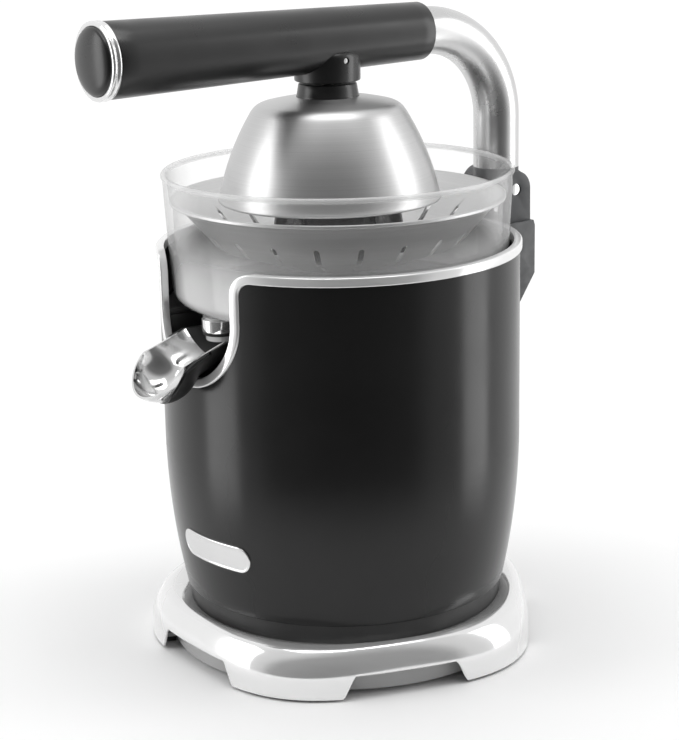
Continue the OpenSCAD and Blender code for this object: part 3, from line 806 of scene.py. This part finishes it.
def build_dome():
    lo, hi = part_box("press_dome")
    sx, sz, sr = -76.7, 223.8, 139.4
    cz, cr = 156.1, 150.0

    def side(z, g=0.0):
        return sx + math.sqrt((sr - g) ** 2 - (z - sz) ** 2)

    def cap(r, g=0.0):
        return cz + math.sqrt((cr - g) ** 2 - r * r)
    outer = [(side(z), z) for z in (252, 254, 257, 260, 264, 268, 272, 276, 280, 284, 288, 291, 294, 296)]
    p0, p1, p2 = (side(297.2), 297.2), (39.7, 300.6), (36, cap(36))
    for k in range(9):
        t = k / 8
        outer.append(tuple(p0[j] * (1 - t) ** 2 + p1[j] * 2 * t * (1 - t) + p2[j] * t * t for j in (0, 1)))
    outer += [(r, cap(r)) for r in (32, 28, 22, 17, 12, 8, 4.6)]
    inner = [(r, cap(r, 1.2)) for r in (4.6, 12, 20, 28, 34)]
    inner += [(side(z, 1.2), z) for z in (297, 292, 284, 276, 268, 260, 252)]
    lip = [(59.3, 251.0), (58.9, 250.3), (59.1, 249.75), (59.8, 249.6), (60.4, 249.9), (60.6, 250.6),
           (60.3, 251.3)]
    mesh = lathe(mm(lip + outer + inner), at=(0, (lo.y + hi.y) / 2, 0), segs=256)
    return piece("press_dome_spun", *mesh, "press_dome", 40)


def build_collar():
    lo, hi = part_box("dome_collar")
    top = hi.z / MM
    pts = [(16.9, 304.9), (17.0, 305.4), (16.7, 306.0), (16.1, 309.5), (15.8, top - 0.8), (15.5, top - 0.2),
           (14.8, top), (4.6, top), (4.6, 305.9), (14.5, 305.2)]
    mesh = lathe(mm(pts), at=(0, (lo.y + hi.y) / 2, 0), segs=96)
    return piece("dome_collar_moulded", *mesh, "dome_collar", 40)


def build_socket():
    lo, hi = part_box("neck_socket")
    r, z0, z1 = hi.x / MM, lo.z / MM, hi.z / MM
    pts = [(7.4, z0 + 0.3), (8, z0), (r - 0.8, z0), (r - 0.2, z0 + 0.3), (r, z0 + 1.0), (r, z1 - 5)]
    pts += arc(r - 4, z1 - 5, 4, 0, 70, 6) + [(7.4, z1)]
    ob = piece("neck_socket_moulded", *lathe(mm(pts), at=(0, TILT_Y, 0), segs=96), "neck_socket", 40)
    hole = lathe(mm([(1.75, -25), (1.75, 25), (0, 25), (0, -25)]), axis="x", at=(0, TILT_Y, TILT_Z), segs=32)
    boolean(ob, [hole], 40)
    return ob


# ---------------------------------------------------------------- lever arm

grip_lo, grip_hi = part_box("grip")
ARM_Z = (grip_lo.z + grip_hi.z) / 2


def build_grip():
    lo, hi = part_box("grip")
    front = (hi.x - lo.x) / 2 / MM
    y0, y1 = lo.y / MM, hi.y / MM
    back = 15.75

    def r(y):
        return back + (front - back) * (y1 - y) / (y1 - y0)
    pts = [(13.15, y1 - 1.0), (13.6, y1 - 0.2), (14.2, y1), (back - 0.9, y1), (back - 0.25, y1 - 0.3),
           (back + 0.02, y1 - 1.0)]
    pts += [(r(y1 - 8 - 20 * i), y1 - 8 - 20 * i) for i in range(10)]
    pts += [(r(y0) - 0.05, y0 + 0.9), (r(y0) - 0.3, y0 + 0.2), (r(y0) - 0.9, y0), (13.15, y0)]
    return piece("grip_moulded", *lathe(mm(pts), axis="y", at=(0, 0, ARM_Z), segs=128), "grip", 40)


def build_grip_ring():
    lo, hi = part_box("grip_ring")
    y0, y1, r = lo.y / MM, hi.y / MM, hi.x / MM
    pts = [(17.3, y1), (r - 0.8, y1), (r - 0.15, y1 - 0.35), (r, y1 - 0.95), (r - 0.1, y1 - 1.6),
           (r - 0.75, y1 - 2.15), (r - 0.8, y1 - 2.55), (r - 0.75, y1 - 2.9), (r - 0.12, y1 - 3.4),
           (r, y1 - 4.0), (r - 0.2, y0 + 0.4), (r - 0.9, y0), (17.6, y0), (17.3, y0 + 0.3)]
    return piece("grip_ring_chrome", *lathe(mm(pts), axis="y", at=(0, 0, ARM_Z), segs=128), "grip_ring", 50)


def build_grip_cap():
    lo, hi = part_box("grip_cap")
    y0, r = lo.y / MM, hi.x / MM
    pts = [(r, y0 + 8), (r, y0 + 4.4), (r - 0.35, y0 + 3.6), (r - 1.2, y0 + 2.9), (14, y0 + 1.85),
           (11, y0 + 1.05), (8, y0 + 0.5), (5, y0 + 0.18), (2.5, y0 + 0.04), (0, y0), (0, y0 + 8)]
    mesh = lathe(mm(pts), axis="y", at=(0, 0, ARM_Z), segs=96, closed=True)
    return piece("grip_cap_domed", *mesh, "grip_cap", 40)


def build_tube():
    """Bent tube: a round section carried along the grip, round the bend and down to the knuckle."""
    lo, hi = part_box("arm_tube")
    r = (hi.x - lo.x) / 2
    zc = hi.z - r
    yv = hi.y - r
    bend = 52 * MM
    low = lo.z - 0.5 * MM
    centre = (yv - bend, zc - bend)
    rows = [(Vector((0, lo.y, zc)), 0.0), (Vector((0, grip_hi.y - 0.004, zc)), 0.0),
            (Vector((0, grip_hi.y + 0.002, zc)), 0.0)]
    for i in range(33):
        a = math.radians(90 * i / 32)
        rows.append((Vector((0, centre[0] + bend * math.sin(a), centre[1] + bend * math.cos(a))), a))
    rows.append((Vector((0, yv, 0.27)), math.pi / 2))
    rows.append((Vector((0, yv, low + 0.4 * MM)), math.pi / 2))
    verts, faces = [], []
    n = 80
    for c, a in rows:
        out = Vector((0, math.sin(a), math.cos(a)))
        for i in range(n):
            b = 2 * math.pi * i / n
            verts.append(c + Vector((1, 0, 0)) * r * math.cos(b) + out * r * math.sin(b))
    for k in range(len(rows) - 1):
        for i in range(n):
            j = (i + 1) % n
            faces.append([k * n + i, k * n + j, (k + 1) * n + j, (k + 1) * n + i])
    faces.append(list(range(n)))
    faces.append([(len(rows) - 1) * n + i for i in range(n)][::-1])
    return piece("arm_tube_bent", verts, faces, "arm_tube", 40)


# ---------------------------------------------------------------- spout

SPOUT_SLOPE = math.radians(19)
SPOUT_START = Vector((0, -85 * MM, 188 * MM))
SCOOP_WALL = 1.2
# the channel's radius and its centre's height above the rim, then the round nose
TROUGH_R, TROUGH_UP = 19.5, 6.0
NOSE_R, NOSE_Y, NOSE_Z = 18.9, -35.0, -1.0
# where the rim starts to dip
DIP_Y = -31
ACROSS = 41


def scoop_point(x, y, z):
    """A point given in millimetres along the sloping spout, in the row frame."""
    c, s = math.cos(SPOUT_SLOPE), math.sin(SPOUT_SLOPE)
    return SPOUT_START + Vector((x, y * c - z * s, y * s + z * c)) * MM


def reach(height, radius, phi):
    """Distance from the rim's centre line to a circle centred at a height, phi from down."""
    d = radius * radius - (height * math.sin(phi)) ** 2
    return -height * math.cos(phi) + math.sqrt(max(d, 0))


def rim_height(y):
    """Height of the rim: level along the channel, dipping to a pouring lip."""
    d = max(0.0, DIP_Y - y)
    return -0.70 * d * d / (d + 3)


def scoop_radius(y, grow, phi):
    """Distance of the wall from the rim's centre line: channel and nose, softly joined."""
    a = reach(TROUGH_UP, TROUGH_R + grow, phi) if y >= NOSE_Y else 0
    rho2 = (NOSE_R + grow) ** 2 - (y - NOSE_Y) ** 2
    b = reach(NOSE_Z, math.sqrt(rho2), phi) if rho2 > NOSE_Z * NOSE_Z + 0.01 else 0
    big, small = max(a, b), min(a, b)
    soft = 0.6 * max(0.0, min(1.0, (y - NOSE_Y) / 4))
    return big + (soft * math.exp((small - big) / 1.2) if small > 0 else 0)


def scoop_line(y, grow, drop=0.0):
    """Points across the scoop from edge to edge, the edges lying drop below the rim."""
    depth = drop - rim_height(y)
    lo, hi = 0.0, math.pi / 2
    for _ in range(40):
        mid = (lo + hi) / 2
        lo, hi = (mid, hi) if scoop_radius(y, grow, mid) * math.cos(mid) > depth else (lo, mid)
    line = []
    for k in range(ACROSS):
        phi = hi * (2 * k / (ACROSS - 1) - 1)
        r = scoop_radius(y, grow, phi)
        line.append(scoop_point(r * math.sin(phi), y, -r * math.cos(phi)))
    return line


def scoop_sheet(grow):
    """Lines from the back of the scoop to the tip, where the wall meets the dipping rim."""
    tip, inside = NOSE_Y - NOSE_R - grow + 0.2, -40.0
    for _ in range(40):
        mid = (tip + inside) / 2
        tip, inside = (tip, mid) if scoop_radius(mid, grow, 0) > -rim_height(mid) else (mid, inside)
    ys = [-4 + (DIP_Y + 4) * i / 16 for i in range(17)]
    ys += [DIP_Y + (tip - DIP_Y) * math.sin(math.radians(90 * i / 24)) for i in range(1, 25)]
    return [scoop_line(y, grow) for y in ys]


def build_chute():
    """Steel scoop: a half round channel that deepens into a rounded nose with a pouring lip."""
    outer, inner = scoop_sheet(SCOOP_WALL), scoop_sheet(0.0)
    n, m = len(outer), ACROSS
    verts = [p for line in outer for p in line] + [p for line in inner for p in line]
    k = n * m
    faces = []
    for i in range(n - 1):
        for j in range(m - 1):
            a = i * m + j
            faces.append([a, a + 1, a + m + 1, a + m])
            faces.append([k + a, k + a + m, k + a + m + 1, k + a + 1])
    for i in range(n - 1):
        a, b = i * m, (i + 1) * m
        faces.append([a, b, k + b, k + a])
        a, b = a + m - 1, b + m - 1
        faces.append([a, k + a, k + b, b])
    faces += [[j, k + j, k + j + 1, j + 1] for j in range(m - 1)]
    ob = piece("spout_scoop", verts, faces, "spout_chute", 40)
    bevel(ob, 0.35 * MM, 3, 50)


def build_spout_under():
    """Black moulding under the scoop, from the end of the cradle to near the lip."""
    steps, start, length = 24, -13.8, 28.2
    verts = []
    for i in range(steps + 1):
        t = i / steps
        y, thick, drop = start - length * t, 1.5 - 0.6 * t ** 2, 1.9 + 7.0 * t ** 2.5
        verts += scoop_line(y, SCOOP_WALL + 0.1, drop)
        verts += scoop_line(y, SCOOP_WALL + thick, drop)[::-1]
    n = 2 * ACROSS
    faces = [[i * n + j, i * n + (j + 1) % n, (i + 1) * n + (j + 1) % n, (i + 1) * n + j]
             for i in range(steps) for j in range(n)]
    for base in (0, steps * n):
        faces += [[base + j, base + j + 1, base + n - 2 - j, base + n - 1 - j] for j in range(ACROSS - 1)]
    piece("spout_under", verts, faces, "spout_cradle", 40, stands_for=False)


# ---------------------------------------------------------------- CAD nodes that stay

def keep_cad():
    """Gives every CAD node that is still shown its material, soft edges and smooth shading."""
    edges = {"hinge_bracket": 1.2, "arm_knuckle": 0.8, "base_tray": 0.5, "foot_pads": 0.4, "spout_bay": 0.5,
             "spout_cradle": 0.5, "hinge_pin": 0.4, "neck_pin": 0.2, "cord_gland": 0.4, "bracket_screws": 0.3,
             "tray_screws": 0.3, "spout_pin": 0.3, "thrust_plate": 0.3, "cover_screws": 0.3, "body_deck": 0.4,
             "gearbox_cover": 0.4}
    for name, ob in NODES.items():
        if ob.hide_render:
            continue
        ob.data.materials.clear()
        ob.data.materials.append(MAT[SLOT[name]])
        weld = ob.modifiers.new("weld", "WELD")
        weld.merge_threshold = 0.00001
        if name in edges:
            bevel(ob, edges[name] * MM, 3, 40)
        smooth = ob.modifiers.new("smooth", "EDGE_SPLIT")
        smooth.split_angle = math.radians(35)
        ob.data.polygons.foreach_set("use_smooth", [True] * len(ob.data.polygons))


build_shell()
build_trim()
build_badge()
build_neck()
build_foot()
build_bowl()
build_outlet_rings()
build_strainer()
build_dome()
build_collar()
build_socket()
build_grip()
build_grip_ring()
build_grip_cap()
build_tube()
build_chute()
build_spout_under()
keep_cad()


# ---------------------------------------------------------------- stage and light

def make_floor():
    """A pale round table top whose edge fades into the white surround."""
    n, radius = 96, 0.48
    mesh = bpy.data.meshes.new("floor")
    mesh.from_pydata([(radius * math.cos(2 * math.pi * i / n), radius * math.sin(2 * math.pi * i / n), 0)
                      for i in range(n)], [], [list(range(n))])
    ob = bpy.data.objects.new("floor", mesh)
    scene.collection.objects.link(ob)
    mat = material("floor_pale", grey(0.95), 0.0, 0.7)
    tint(mat, noise(mat, 3, 2), grey(0.94), grey(0.96))
    tree = mat.node_tree
    place = tree.nodes.new("ShaderNodeTexCoord")
    far = tree.nodes.new("ShaderNodeVectorMath")
    far.operation = "LENGTH"
    tree.links.new(place.outputs["Object"], far.inputs[0])
    fade = tree.nodes.new("ShaderNodeMapRange")
    fade.interpolation_type = "SMOOTHSTEP"
    fade.inputs["From Min"].default_value, fade.inputs["From Max"].default_value = 0.20, 0.46
    fade.inputs["To Min"].default_value, fade.inputs["To Max"].default_value = 1, 0
    tree.links.new(far.outputs["Value"], fade.inputs["Value"])
    tree.links.new(fade.outputs[0], tree.nodes["Principled BSDF"].inputs["Alpha"])
    ob.data.materials.append(mat)


def area_light(name, where, size, power, tone=(1, 1, 1)):
    """A softbox placed as right, away, up for the viewer, aimed at the middle of the object."""
    data = bpy.data.lights.new(name, "AREA")
    data.shape, data.size, data.size_y = "RECTANGLE", size[0], size[1]
    data.energy, data.color = power, tone
    ob = bpy.data.objects.new(name, data)
    scene.collection.objects.link(ob)
    ob.location = in_object((where[0], where[1], 0)) + Vector((0, 0, where[2]))
    aim = Vector((0, 0, 0.18)) - ob.location
    ob.rotation_mode = "QUATERNION"
    ob.rotation_quaternion = aim.to_track_quat("-Z", "Y")


def make_world():
    """Soft studio surround: white for the camera, paler and darker zones round the object."""
    world = bpy.data.worlds.new("studio")
    scene.world = world
    world.use_nodes = True
    tree = world.node_tree
    tree.nodes.clear()
    out = tree.nodes.new("ShaderNodeOutputWorld")
    seen = tree.nodes.new("ShaderNodeBackground")
    seen.inputs["Color"].default_value = (1, 1, 1, 1)
    seen.inputs["Strength"].default_value = 1.05
    around = tree.nodes.new("ShaderNodeBackground")
    around.inputs["Strength"].default_value = 1.0
    coord = tree.nodes.new("ShaderNodeTexCoord")
    dot = tree.nodes.new("ShaderNodeVectorMath")
    dot.operation = "DOT_PRODUCT"
    dot.inputs[1].default_value = in_object((0, -1, 0))
    tree.links.new(coord.outputs["Generated"], dot.inputs[0])
    ramp = tree.nodes.new("ShaderNodeValToRGB")
    ramp.color_ramp.interpolation = "EASE"
    e = ramp.color_ramp.elements
    e[0].position, e[0].color = 0.0, (0.95, 0.95, 0.95, 1)
    e[1].position, e[1].color = 1.0, (0.10, 0.10, 0.10, 1)
    for pos, tone in ((0.45, 0.9), (0.72, 0.62), (0.86, 0.16)):
        n = e.new(pos)
        n.color = (tone, tone, tone, 1)
    half = tree.nodes.new("ShaderNodeMapRange")
    half.inputs["From Min"].default_value, half.inputs["From Max"].default_value = -1, 1
    tree.links.new(dot.outputs["Value"], half.inputs["Value"])
    tree.links.new(half.outputs[0], ramp.inputs[0])
    tree.links.new(ramp.outputs[0], around.inputs["Color"])
    path = tree.nodes.new("ShaderNodeLightPath")
    mix = tree.nodes.new("ShaderNodeMixShader")
    tree.links.new(path.outputs["Is Camera Ray"], mix.inputs[0])
    tree.links.new(around.outputs[0], mix.inputs[1])
    tree.links.new(seen.outputs[0], mix.inputs[2])
    tree.links.new(mix.outputs[0], out.inputs["Surface"])


make_floor()
make_world()
area_light("softbox_left", (-1.5, -0.25, 0.35), (0.7, 2.0), 11)
area_light("softbox_right", (1.5, 0.05, 0.35), (0.6, 2.0), 9)
area_light("softbox_top", (0.0, -0.1, 1.9), (1.4, 1.0), 8)
area_light("softbox_front", (0.15, -0.5, 1.75), (1.5, 0.35), 3)
scene.view_settings.view_transform = "Standard"
